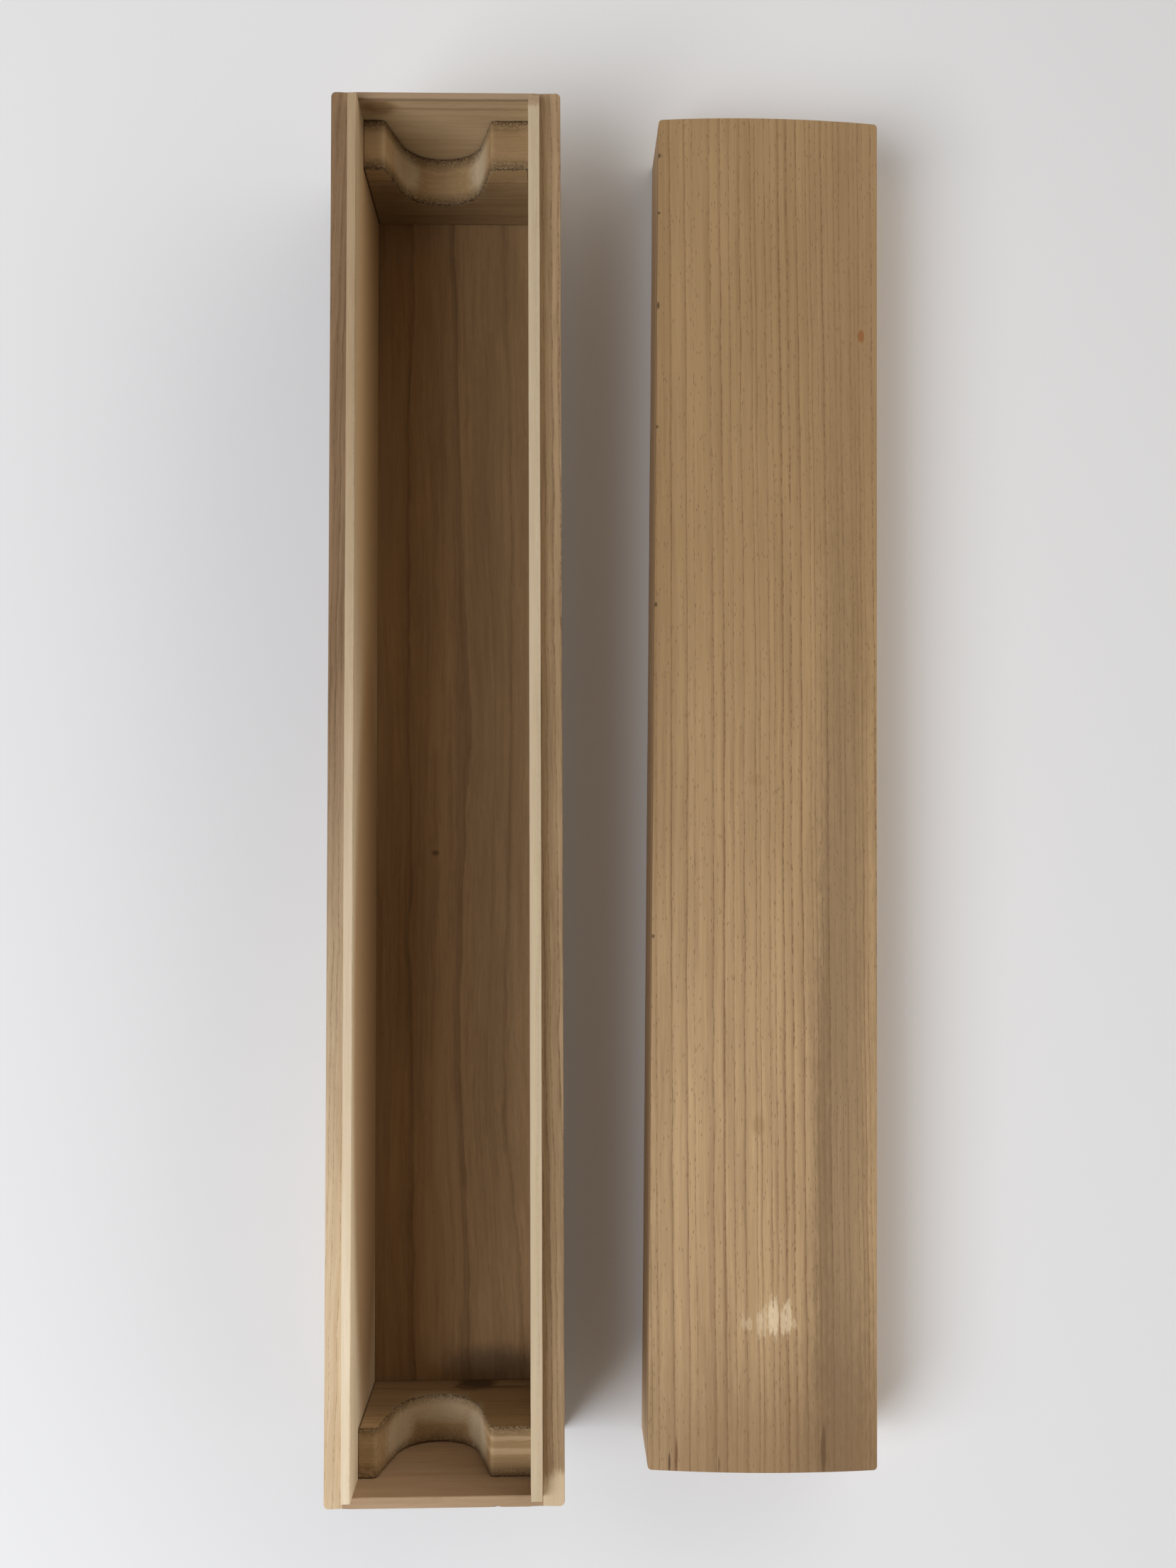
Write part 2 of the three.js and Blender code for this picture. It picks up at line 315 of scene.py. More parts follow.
    # fibre: fine streaks about 0.4 mm wide, broader ones, and clouds of darker and paler wood
    finePlace = addNode(tree, "Mapping", {"Scale": perMm(paulownia["fineSize"])}, {"Vector": bent})
    fine = addNode(tree, "TexNoise", {"Scale": 1, "Detail": 3, "Roughness": 0.6}, {"Vector": finePlace})
    broadPlace = addNode(tree, "Mapping", {
        "Scale": perMm(paulownia["broadSize"]), "Location": (0, 0, look["seed"])}, {"Vector": bent})
    broad = addNode(tree, "TexNoise", {"Scale": 1, "Detail": 4, "Roughness": 0.65}, {"Vector": broadPlace})
    cloudPlace = addNode(tree, "Mapping", {
        "Scale": perMm(paulownia["cloudSize"]), "Location": (0, 0, look["seed"])}, {"Vector": own})
    cloud = addNode(tree, "TexNoise", {"Scale": 1, "Detail": 3, "Roughness": 0.55}, {"Vector": cloudPlace})
    share = ringShare
    for streaks, depth in ((fine, "fineDepth"), (broad, "broadDepth"), (cloud, "cloudDepth")):
        share = addNode(tree, "Math", {"operation": "MULTIPLY_ADD", 1: look[depth]}, {0: streaks, 2: share})
    # the noises lie round a half, so this keeps the mean tone whatever the depths are
    depths = look["fineDepth"] + look["broadDepth"] + look["cloudDepth"]
    meanShare = paulownia["meanYearTone"] * look["ringDepth"] + 0.5 * depths
    amount = addNode(tree, "Math", {
        "operation": "ADD", 1: paulownia["meanTone"] - meanShare, "use_clamp": True}, {0: share})

    # its two tones drift from the far end to the near end of the board: aged wood, and on the left wall and
    # left lip also a painted pool of light at the near end
    split = addNode(tree, "SeparateXYZ", {}, {0: inMm})
    nearness = addNode(tree, "MapRange", {"From Min": look["fade"][0], "From Max": look["fade"][1]},
                       {"Value": split.outputs["Y"]})
    paleTone, darkTone = [
        addNode(tree, "MixRGB", {"Color1": linear(farTone), "Color2": linear(nearTone)}, {"Fac": nearness})
        for farTone, nearTone in zip(look["far"], look["near"])]
    colour = addNode(tree, "MixRGB", {}, {"Fac": amount, "Color1": paleTone, "Color2": darkTone})

    # the dashed line of pores where a year ends, with other dashes each year
    remaining = addNode(tree, "Math", {"operation": "SUBTRACT", 0: 1}, {1: season})
    toYearEnd = addNode(tree, "Math", {"operation": "DIVIDE"}, {0: remaining, 1: rate})
    line = addNode(tree, "MapRange", {
        "From Min": look["lineWidth"], "From Max": paulownia["fullLine"] * look["lineWidth"]},
        {"Value": toYearEnd})
    rowPlace = addNode(tree, "Math", {"operation": "MULTIPLY", 1: paulownia["rowStep"]}, {0: year})
    dashPlace = addNode(tree, "Math", {"operation": "DIVIDE", 1: look["dashLength"]},
                        {0: bentParts.outputs["Y"]})
    rowAndDash = addNode(tree, "CombineXYZ", {}, {"X": rowPlace, "Y": dashPlace})
    dashNoise = addNode(tree, "TexNoise", {"noise_dimensions": "2D", "Scale": 1, "Detail": 2},
                        {"Vector": rowAndDash})
    dashes = addNode(tree, "MapRange", {
        "From Min": paulownia["dashNoise"][0], "From Max": paulownia["dashNoise"][1],
        "To Min": paulownia["leastDash"]}, {"Value": dashNoise})
    lineShare = addNode(tree, "Math", {"operation": "MULTIPLY"}, {0: line, 1: dashes})

    # single pores between the lines: stretched cells, a few of them kept
    poreSize = (paulownia["poreWidth"], look["poreLength"], paulownia["poreWidth"])
    porePlace = addNode(tree, "Mapping", {"Scale": perMm(poreSize)}, {"Vector": bent})
    cells = addNode(tree, "TexVoronoi", {"Scale": 1}, {"Vector": porePlace})
    dash = addNode(tree, "MapRange", {
        "From Min": paulownia["poreRim"][0], "From Max": paulownia["poreRim"][1]},
        {"Value": cells.outputs["Distance"]})
    chance = addNode(tree, "SeparateColor", {}, {0: cells.outputs["Color"]})
    kept = addNode(tree, "Math", {"operation": "LESS_THAN", 1: look["pores"]}, {0: chance})
    pore = addNode(tree, "Math", {"operation": "MULTIPLY"}, {0: dash, 1: kept})
    pores = addNode(tree, "Math", {"operation": "MAXIMUM"}, {0: lineShare, 1: pore})
    poreShare = addNode(tree, "Math", {"operation": "MULTIPLY", 1: look["poreDepth"]}, {0: pores})
    colour = addNode(tree, "MixRGB", {"Color2": linear(look["pore"])}, {"Fac": poreShare, "Color1": colour})

    # stains, knots, rubbed places and painted shade and light: soft ragged spots at a place in mm from the
    # board's middle
    raggedPlace = addNode(tree, "Mapping", {"Scale": perMm(paulownia["raggedSize"])}, {"Vector": own})
    for spot in look["spots"]:
        spotPlace = addNode(tree, "Mapping", {
            "vector_type": "TEXTURE", "Location": spot["at"], "Scale": spot["size"]}, {"Vector": inMm})
        distance = addNode(tree, "VectorMath", {"operation": "LENGTH"}, {0: spotPlace})
        ragged = addNode(tree, "TexNoise", {"Scale": spot.get("fineness", 1), "Detail": 3},
                         {"Vector": raggedPlace})
        edge = addNode(tree, "Math", {"operation": "MULTIPLY_ADD", 1: spot["ragged"]},
                       {0: ragged, 2: distance.outputs["Value"]})
        inside = addNode(tree, "MapRange", {
            "interpolation_type": "SMOOTHSTEP", "From Min": 1 + (spot["soft"] + spot["ragged"]) / 2,
            "From Max": 1 + (spot["ragged"] - spot["soft"]) / 2, "To Max": spot["strength"]},
            {"Value": edge})
        colour = addNode(tree, "MixRGB", {"Color2": linear(spot["colour"])},
                         {"Fac": inside, "Color1": colour})

    # sawn edges catch dirt: dark grit that thins out inwards from the front and back faces, which
    # stay clean themselves
    if look["grit"]:
        reach, most = look["grit"]
        half = size.y / mm / 2
        acrossY = addNode(tree, "Math", {"operation": "ABSOLUTE"}, {0: split.outputs["Y"]})
        rimBand = addNode(tree, "MapRange", {"From Min": half - reach, "From Max": half, "To Max": most},
                          {"Value": acrossY})
        facing = addNode(tree, "SeparateXYZ", {}, {0: place.outputs["Normal"]})
        flatOn = addNode(tree, "Math", {"operation": "ABSOLUTE"}, {0: facing.outputs["Y"]})
        besides = addNode(tree, "MapRange", {
            "From Min": paulownia["flatFace"][0], "From Max": paulownia["flatFace"][1]},
            {"Value": flatOn})
        speckPlace = addNode(tree, "Mapping", {"Scale": perMm(paulownia["speckSize"])}, {"Vector": inMm})
        specks = addNode(tree, "TexNoise", {"Scale": 1, "Detail": 3, "Roughness": 0.7},
                         {"Vector": speckPlace})
        speckle = addNode(tree, "MapRange", {
            "From Min": paulownia["speckNoise"][0], "From Max": paulownia["speckNoise"][1]},
            {"Value": specks})
        gritHere = addNode(tree, "Math", {"operation": "MULTIPLY"}, {0: rimBand, 1: speckle})
        gritShare = addNode(tree, "Math", {"operation": "MULTIPLY"}, {0: gritHere, 1: besides})
        colour = addNode(tree, "MixRGB", {"Color2": linear(paulownia["dirt"])},
                         {"Fac": gritShare, "Color1": colour})

    # planing leaves the fibre slightly raised and the pores open, and darker wood shines less
    height = addNode(tree, "Math", {"operation": "SUBTRACT"}, {0: fine, 1: pores})
    relief = addNode(tree, "Bump", {
        "Strength": paulownia["reliefStrength"], "Distance": paulownia["reliefDepth"] * mm},
        {"Height": height})
    smooth, rough = paulownia["roughness"]
    sheen = addNode(tree, "MapRange", {"To Min": smooth, "To Max": rough}, {"Value": amount})
    surface = addNode(tree, "BsdfPrincipled", {
        "IOR": paulownia["ior"], "Specular IOR Level": paulownia["specular"]},
        {"Base Color": colour, "Normal": relief, "Roughness": sheen})
    addNode(tree, "OutputMaterial", {}, {"Surface": surface})
    return material


# What most boards have in common. Places and sizes are in mm, a chip is its place and its size,
# and rings is the width of a year on the pith's side and on the other side
common = {
    "body": "box", "cut": "planed", "grain": "y", "outer": (), "seed": 1.0, "lean": 0,
    "wave": 0.06, "waveSize": 28, "wear": 0.2, "chips": [], "swell": (0, 0, 0, 0),
    "rings": (4.6, 3.0), "pith": (-90, 0, -20), "wander": 3.0, "wiggle": 0.5,
    "ringDepth": 0.5, "fineDepth": 0.5, "broadDepth": 0.8, "cloudDepth": 0.6,
    "lineWidth": 0.45, "dashLength": 2.4, "pore": "#5b3920", "pores": 0.05, "poreLength": 5,
    "poreDepth": 0.6, "fade": (245, -245), "spots": [], "grit": None,
}

# The bottom board under the whole box. Its top is the dark floor of the scroll's space
bottom = {
    **common, "name": "floorBoard", "node": "bottom_board", "slot": "floor_wood",
    "outer": (-1, 1), "seed": 3.1,
    "far": ("#a58259", "#6a4f32"), "near": ("#9b7951", "#62482c"),
    "rings": (11, 8), "pith": (-70, 0, -60), "wander": 9, "wiggle": 1.2,
    "ringDepth": 0.28, "cloudDepth": 0.8, "poreDepth": 0.25, "lean": -0.6,
    "spots": [
        {"at": (-8.4, -24.3, 2), "size": (1.3, 1.0, 4), "colour": "#4a3018",
         "strength": 0.7, "soft": 0.8, "ragged": 0.3},
        {"at": (18, 60, 2), "size": (15, 260, 8), "colour": "#4c3720",
         "strength": 0.38, "soft": 1.2, "ragged": 0.4},
        # painted shade: a dark band on the floor just in front of the near rest
        {"at": (13, -219, 2), "size": (16, 6.5, 8), "colour": "#33220f",
         "strength": 0.6, "soft": 1.2, "ragged": 0.5},
    ],
}
floorBoard = plank(bottom)
dress(floorBoard, bottom)
print("bottom board ready")

# The two outer long walls. Their tops are the rim
leftSide = {
    **common, "name": "leftWall", "node": "left_side_board", "slot": "wall_wood",
    "outer": (-1,), "seed": 5.2, "lean": 1.2,
    # the paler near tones are partly paler wood and partly a painted pool of light at the near end
    "far": ("#957858", "#5b412b"), "near": ("#dcc6a5", "#b5966f"), "fade": (45, -165),
    "rings": (3.4, 2.6), "pith": (-60, 0, -10), "wander": 3, "wiggle": 0.9, "ringDepth": 0.2,
    "fineDepth": 0.7, "broadDepth": 1.0, "poreDepth": 0.18, "pores": 0.12,
}
leftWall = plank(leftSide)
dress(leftWall, leftSide)
rightSide = {
    **common, "name": "rightWall", "node": "right_side_board", "slot": "wall_wood",
    "outer": (1,), "seed": 8.4, "lean": -0.8,
    # the dark tones are painted shade: the shadow that the right lip casts across the rim
    "far": ("#a88d6a", "#634b31"), "near": ("#a88d6a", "#634b31"),
    "rings": (2.8, 2.4), "pith": (-60, 0, -10), "wander": 3, "wiggle": 0.9, "ringDepth": 0.2,
    "fineDepth": 0.6, "broadDepth": 1.0, "poreDepth": 0.4, "pores": 0.12,
    "chips": [((40.9, -217.5, 62.5), (1.6, 5.5, 7)), ((41.2, -238.4, 64.6), (1.2, 5, 1.6))],
    "spots": [
        # painted light: a pale patch on the rim's near end, where light passes the end of the lip
        {"at": (3.5, -244, 30), "size": (9, 10.5, 4), "colour": "#c9b494",
         "strength": 0.75, "soft": 0.4, "ragged": 0.4},
    ],
}
rightWall = plank(rightSide)
dress(rightWall, rightSide)
print("long walls ready")

# The two end walls, with the grain across the box
farEnd = {
    **common, "name": "farWall", "node": "far_end_board", "slot": "wall_wood",
    "grain": "x", "seed": 2.3, "swell": (0.6, 0.6, 0, 0),
    "far": ("#ccb28d", "#8d724b"), "near": ("#ccb28d", "#8d724b"),
    "rings": (11, 11), "pith": (0, 0, -160), "wander": 9, "wiggle": 1.6,
    "ringDepth": 0.1, "poreDepth": 0.08, "fineDepth": 0.35, "broadDepth": 0.5,
    "spots": [
        {"at": (0, 0, 30.6), "size": (70, 6, 2.4), "colour": "#8f7860",
         "strength": 0.85, "soft": 0.5, "ragged": 0.3},
        {"at": (4, 0, 23), "size": (34, 9, 0.9), "colour": "#75593a",
         "strength": 0.4, "soft": 1.0, "ragged": 0.8},
        {"at": (-24, 0, 24), "size": (6, 9, 5), "colour": "#6f4b29",
         "strength": 0.65, "soft": 1.0, "ragged": 0.6},
    ],
}
farWall = plank(farEnd)
dress(farWall, farEnd)
nearEnd = {
    **common, "name": "nearWall", "node": "near_end_board", "slot": "wall_wood",
    "grain": "x", "seed": 6.6, "swell": (0.6, 0.6, 0, 0),
    "far": ("#b29677", "#7e6244"), "near": ("#b29677", "#7e6244"),
    "rings": (11, 11), "pith": (0, 0, -160), "wander": 9, "wiggle": 1.6,
    "ringDepth": 0.15, "poreDepth": 0.05, "fineDepth": 0.35, "broadDepth": 0.6,
    "chips": [((17.9, -245.1, 64.6), (3.2, 1.6, 1.8)), ((30.8, -245.2, 64.6), (1.8, 1.5, 1.6))],
}
nearWall = plank(nearEnd)
dress(nearWall, nearEnd)
print("end walls ready")

# The lips: thin pale boards inside the long walls that stand proud of the rim
lip = {
    **common, "slot": "lip_wood", "wave": 0.05, "rings": (3, 3), "pith": (-120, 0, -60), "wander": 2,
    "ringDepth": 0.08, "broadDepth": 0.6, "cloudDepth": 0.4, "poreDepth": 0.05,
}
leftLip = {
    **lip, "name": "leftLip", "node": "left_lip_board", "seed": 4.4, "swell": (0.25, 0, 0.6, 0.1),
    # the paler near tones are partly the wood's own tone and partly a painted pool of light from the near
    # left
    "far": ("#b09a7b", "#8a7254"), "near": ("#e7d8bf", "#c0a986"), "fade": (120, -190),
    "spots": [
        # painted shade: these two spots give the inner face an even brown of its own, which at the near end
        # stays darker than the top
        {"at": (0, 140, -8), "size": (8, 130, 35), "colour": "#b5946a",
         "strength": 0.7, "soft": 0.3, "ragged": 0.1},
        {"at": (0, -90, -7), "size": (8, 140, 35), "colour": "#a28059",
         "strength": 0.8, "soft": 0.3, "ragged": 0.1},
    ],
}
leftLipBoard = plank(leftLip)
dress(leftLipBoard, leftLip)
rightLip = {
    **lip, "name": "rightLip", "node": "right_lip_board", "seed": 7.7, "swell": (0, 0.25, 0.6, 0.6),
    "far": ("#c0af94", "#9e896b"), "near": ("#c8b699", "#a58f70"),
    "chips": [((31.3, 243.4, 69.4), (12, 9, 7))],
    "spots": [
        {"at": (0, 242, 32), "size": (6, 4.5, 8), "colour": "#8f7558",
         "strength": 0.7, "soft": 0.4, "ragged": 0.6},
    ],
}
rightLipBoard = plank(rightLip)
dress(rightLipBoard, rightLip)
print("lips ready")


def scoopCutter(look, low, high):
    # what is sawn out of a rest: round below, its flanks leaning out from where the round ends
    radius, lean = look["scoopRadius"] * mm, math.radians(look["flare"])
    spare = 2 * mm  # how far the cutter stands out of the block
    centre = Vector((look["scoopAt"] * mm, (low.y + high.y) / 2,
                     high.z + (look["scoopRadius"] - look["scoopDepth"]) * mm))
    bpy.ops.object.select_all(action="DESELECT")
    bpy.ops.mesh.primitive_cylinder_add(vertices=96, radius=radius, depth=(high.y - low.y) + 2 * spare,
                                        location=centre, rotation=(math.pi / 2, 0, 0))
    cutter = bpy.context.object
    bpy.ops.object.transform_apply(location=True, rotation=True, scale=True)
    bpy.ops.object.mode_set(mode="EDIT")
    tangent = centre.z - radius * math.sin(lean)
    bpy.ops.mesh.bisect(plane_co=(0, 0, tangent), plane_no=(0, 0, 1), clear_outer=True, use_fill=True)
    bpy.ops.mesh.select_mode(type="FACE")
    bpy.ops.mesh.select_all(action="DESELECT")
    mesh = bmesh.from_edit_mesh(cutter.data)
    for face in mesh.faces:
        face.select = face.normal.z > 0.99
    bmesh.update_edit_mesh(cutter.data)
    rise = high.z - tangent + spare
    bpy.ops.mesh.extrude_region_move(TRANSFORM_OT_translate={"value": (0, 0, rise)})
    reach = radius * math.cos(lean)
    bpy.ops.transform.resize(value=((reach + rise * math.tan(lean)) / reach, 1, 1),
                             center_override=(centre.x, centre.y, high.z))
    bpy.ops.object.mode_set(mode="OBJECT")
    return cutter


def sawnRest(look):
    # a scroll rest: a block that fills the space between the lips, scooped, with rounded shoulders
    low, high = swollenBox(look, boxPlace)
    low.x = ownBox("left_lip_board", boxPlace)[1].x + look["fit"] * mm
    high.x = ownBox("right_lip_board", boxPlace)[0].x - look["fit"] * mm
    cutter = scoopCutter(look, low, high)
    bpy.ops.object.select_all(action="DESELECT")
    bpy.ops.mesh.primitive_cube_add(size=1, location=(low + high) / 2, scale=high - low)
    piece = bpy.context.object
    piece.name = look["name"]
    bpy.ops.object.transform_apply(location=True, rotation=True, scale=True)
    applyModifier(piece, "BOOLEAN", {"operation": "DIFFERENCE", "object": cutter, "solver": "EXACT"})
    bpy.data.objects.remove(cutter)
    bpy.ops.object.mode_set(mode="EDIT")
    selectEdges(piece, lambda start, end: runsAlong(start, end, 1) and start.z > high.z - onFace
                and low.x + mm < start.x < high.x - mm)
    bpy.ops.mesh.bevel(offset=look["shoulder"] * mm, segments=5, affect="EDGES")
    bpy.ops.object.mode_set(mode="OBJECT")
    piece.data.remesh_voxel_size = look["voxel"] * mm
    only(piece)
    bpy.ops.object.voxel_remesh()
    weather(piece, look["wave"], look["waveSize"])
    # the saw leaves the rims of the front and back faces soft and ragged
    rims = piece.vertex_groups.new(name="rims")
    least, most = look["rimLean"]
    rims.add([v.index for v in piece.data.vertices if least < abs(v.normal.y) < most], 1, "REPLACE")
    weather(piece, look["rimWear"], look["rimWearSize"], rims.name)
    fuzz(piece, look)
    bpy.ops.object.shade_smooth()
    return piece


def fuzz(piece, look):
    # loose fibres on the sawn rims: one thin splinter copied to random places there
    draw = random.Random(look["name"])
    least, most = look["fibreLean"]
    roots = [v.co.copy() for v in piece.data.vertices
             if least < abs(v.normal.y) < most and v.normal.z > 0.1]
    fromRoot = look["fibreLength"] / 2 - look["fibreSunk"]
    bpy.ops.object.select_all(action="DESELECT")
    bpy.ops.mesh.primitive_cone_add(vertices=3, radius1=look["fibreRadius"] * mm,
                                    depth=look["fibreLength"] * mm, location=(0, 0, fromRoot * mm))
    splinter = bpy.context.object
    bpy.ops.object.transform_apply(location=True, rotation=True, scale=True)
    fibres = []
    middleY = sum(root.y for root in roots) / len(roots)
    for at in draw.sample(roots, look["fibres"]):
        fibre = splinter.copy()
        fibre.data = splinter.data.copy()
        bpy.context.scene.collection.objects.link(fibre)
        sideways, outwards, upwards = [draw.uniform(*span) for span in look["fibreAim"]]
        aim = Vector((sideways, math.copysign(outwards, at.y - middleY), upwards))
        fibre.location = at
        fibre.rotation_euler = aim.to_track_quat("Z", "Y").to_euler()
        fibre.scale = (1, 1, draw.uniform(*look["fibreStretch"]))
        fibres.append(fibre)
    bpy.data.objects.remove(splinter)
    only(piece)
    for fibre in fibres:
        fibre.select_set(True)
    bpy.ops.object.join()


# The two scroll rests, sawn blocks with the grain across the box. Grit is how far it reaches in
# from the rims and how dark it gets there, and a lean is how far a normal leans towards an end
rest = {
    **common, "slot": "rest_wood", "cut": "sawn", "grain": "x", "wave": 0.12, "waveSize": 8,
    "far": ("#b99a70", "#745b3a"), "near": ("#b99a70", "#745b3a"),
    "rings": (9, 9), "pith": (0, 0, -90), "wander": 6, "wiggle": 1.6,
    "ringDepth": 0.3, "poreDepth": 0.25, "cloudDepth": 0.9,
    "scoopRadius": 15.5, "flare": 14, "shoulder": 1.3, "fit": 0.05, "voxel": 0.5,
    "rimWear": 0.9, "rimWearSize": 1.2, "rimLean": (0.12, 0.97), "fibreLean": (0.3, 0.9),
    "fibres": 240, "fibreRadius": 0.09, "fibreLength": 1.5, "fibreSunk": 0.25,
    "fibreAim": ((-1.2, 1.2), (0.2, 1), (-0.1, 0.8)), "fibreStretch": (0.35, 0.95),
}
farRest = {
    **rest, "name": "farRest", "node": "far_scroll_rest", "seed": 1.7, "swell": (0, 0, 0, 0.25),
    "scoopAt": -4.1, "scoopDepth": 29, "grit": (5.2, 1.0),
    "spots": [
        {"at": (-25, 1, 18), "size": (8, 7, 12), "colour": "#d0b288",
         "strength": 0.6, "soft": 0.9, "ragged": 0.6},
        {"at": (-16, 1, 6), "size": (4.6, 8, 13), "colour": "#d9c9ab",
         "strength": 0.7, "soft": 0.9, "ragged": 0.5},
        {"at": (11.5, 1, 6), "size": (4.6, 8, 13), "colour": "#d9c9ab",
         "strength": 0.6, "soft": 1.2, "ragged": 0.5},
        {"at": (21, 0, 18), "size": (12, 12, 12), "colour": "#8c6f4a",
         "strength": 0.4, "soft": 1, "ragged": 0.8},
        # painted shade: a darker sheet over the face that looks into the box
        {"at": (0, -9.4, -14), "size": (50, 1.2, 30), "colour": "#5f462b",
         "strength": 0.55, "soft": 0.5, "ragged": 0.4},
    ],
}
farRestBlock = sawnRest(farRest)
dress(farRestBlock, farRest)
nearRest = {
    **rest, "name": "nearRest", "node": "near_scroll_rest", "seed": 9.3, "swell": (0, 0, 0.25, 0),
    "scoopAt": -4.9, "scoopDepth": 30.7, "grit": (3.8, 0.85),
    "spots": [
        # painted shade: a darker sheet over the face that looks into the box
        {"at": (0, 8.7, -14), "size": (50, 1.2, 30), "colour": "#5f462b",
         "strength": 0.45, "soft": 0.5, "ragged": 0.4},
        {"at": (20, 0, 20), "size": (14, 1.1, 12), "colour": "#d2b992",
         "strength": 0.45, "soft": 0.9, "ragged": 1.4},
        {"at": (20, 4.5, 20), "size": (14, 0.8, 12), "colour": "#d2b992",
         "strength": 0.35, "soft": 0.9, "ragged": 1.4},
        {"at": (21, -3, 18), "size": (12, 14, 12), "colour": "#8c6f4a",
         "strength": 0.35, "soft": 1, "ragged": 0.8},
        {"at": (-17, -1, 6), "size": (4.6, 8, 13), "colour": "#d9c9ab",
         "strength": 0.7, "soft": 0.9, "ragged": 0.5},
        {"at": (10, -1, 6), "size": (4.6, 8, 13), "colour": "#d9c9ab",
         "strength": 0.7, "soft": 0.9, "ragged": 0.5},
        {"at": (-4, 3.6, -6), "size": (14, 4.8, 8), "colour": "#d9c9ab",
         "strength": 0.45, "soft": 0.9, "ragged": 0.5},
        {"at": (8.4, 8.5, -20), "size": (7, 3, 7), "colour": "#2e1c0d",
         "strength": 0.75, "soft": 0.9, "ragged": 1.4},
        {"at": (16, 8.5, -15), "size": (15, 3, 1.2), "colour": "#3b2613",
         "strength": 0.5, "soft": 1, "ragged": 0.5},
    ],
}
nearRestBlock = sawnRest(nearRest)
dress(nearRestBlock, nearRest)
print("scroll rests ready")

# The lid's top board: quartered wood, crowned, with rounded long edges
lidTop = {
    **common, "name": "lidBoard", "node": "lid_top_board", "slot": "lid_wood", "body": "lid",
    "seed": 0.6, "lean": -0.7,
    "far": ("#a4865e", "#816441"), "near": ("#bd9f76", "#816445"), "fade": (90, -120),
    "rings": (5.6, 2.0), "pith": (-110, 0, -30), "wander": 1.6, "wiggle": 0.5,
    "ringDepth": 0.38, "fineDepth": 0.5, "broadDepth": 0.95, "cloudDepth": 0.5,
    "lineWidth": 0.4, "dashLength": 3.2, "pores": 0.2, "poreLength": 3, "poreDepth": 0.55,
    "wave": 0.12, "waveSize": 30, "crown": 2.2, "edgeRadius": 3.8, "endRadius": 1.6,
    "spots": [
        {"at": (28, -120, 0), "size": (10, 200, 30), "colour": "#705a42",
         "strength": 0.5, "soft": 1.2, "ragged": 0.9},
        {"at": (31, 175, 0), "size": (16, 80, 30), "colour": "#785e43",
         "strength": 0.28, "soft": 1.4, "ragged": 0.6},
        {"at": (30, -236, 0), "size": (15, 45, 30), "colour": "#705a42",
         "strength": 0.4, "soft": 1.4, "ragged": 0.6},
        {"at": (21.5, -150, 0), "size": (2.6, 110, 30), "colour": "#6b5338",
         "strength": 0.4, "soft": 1.2, "ragged": 1.2},
        {"at": (10, -262, 0), "size": (70, 48, 30), "colour": "#75593b",
         "strength": 0.55, "soft": 1.2, "ragged": 0.5},
        {"at": (35.2, 166.5, 2), "size": (1.2, 2.4, 6), "colour": "#875427",
         "strength": 0.85, "soft": 0.6, "ragged": 0.8, "fineness": 2},
        {"at": (21.6, -241, 2), "size": (1.0, 8, 6), "colour": "#4f3820",
         "strength": 0.6, "soft": 0.8, "ragged": 0.6},
        {"at": (-33.6, -245.5, 2), "size": (0.35, 4, 6), "colour": "#3a2210",
         "strength": 0.8, "soft": 0.8, "ragged": 0.4},
        {"at": (-31.1, -244.0, 2), "size": (0.45, 6, 6), "colour": "#5c3014",
         "strength": 0.7, "soft": 0.8, "ragged": 0.4},
        {"at": (-16, -246, 2), "size": (0.3, 3, 6), "colour": "#5c3a1e",
         "strength": 0.6, "soft": 0.8, "ragged": 0.4},
        {"at": (-2.4, -125.6, 2), "size": (2.4, 3.4, 6), "colour": "#8b6a45",
         "strength": 0.4, "soft": 1, "ragged": 0.4},
        {"at": (-3.7, -0.6, 2), "size": (3, 2.2, 6), "colour": "#8b6a45",
         "strength": 0.3, "soft": 1, "ragged": 0.4},
        *[{"at": (-40.9, y, 2), "size": (0.5, length, 6), "colour": "#3b2814",
           "strength": 0.75, "soft": 0.8, "ragged": 0.5}
          for y, length in ((234.6, 0.9), (212.5, 0.5), (177.1, 1.3), (131, 0.6), (64.2, 0.8), (-58, 0.7))],
        *[{"at": (x, y, 2), "size": (width, length, 6), "colour": "#e2cdac",
           "strength": strength, "soft": 0.6, "ragged": 1.6, "fineness": 2.6}
          for x, y, width, length, strength in (
              (-7.5, -195.7, 1.0, 2.6, 0.2), (-5.4, -196.2, 1.1, 2.2, 0.25), (-1.7, -196.0, 0.9, 5.0, 0.35),
              (0.1, -195.2, 1.0, 5.8, 0.3), (2.4, -193.4, 0.9, 6.4, 0.6), (4.0, -194.2, 1.1, 7.0, 0.6),
              (7.0, -194.8, 1.0, 5.0, 0.45), (8.7, -194.0, 1.1, 6.0, 0.5), (10.8, -196.0, 0.9, 1.8, 0.25))],
    ],
}


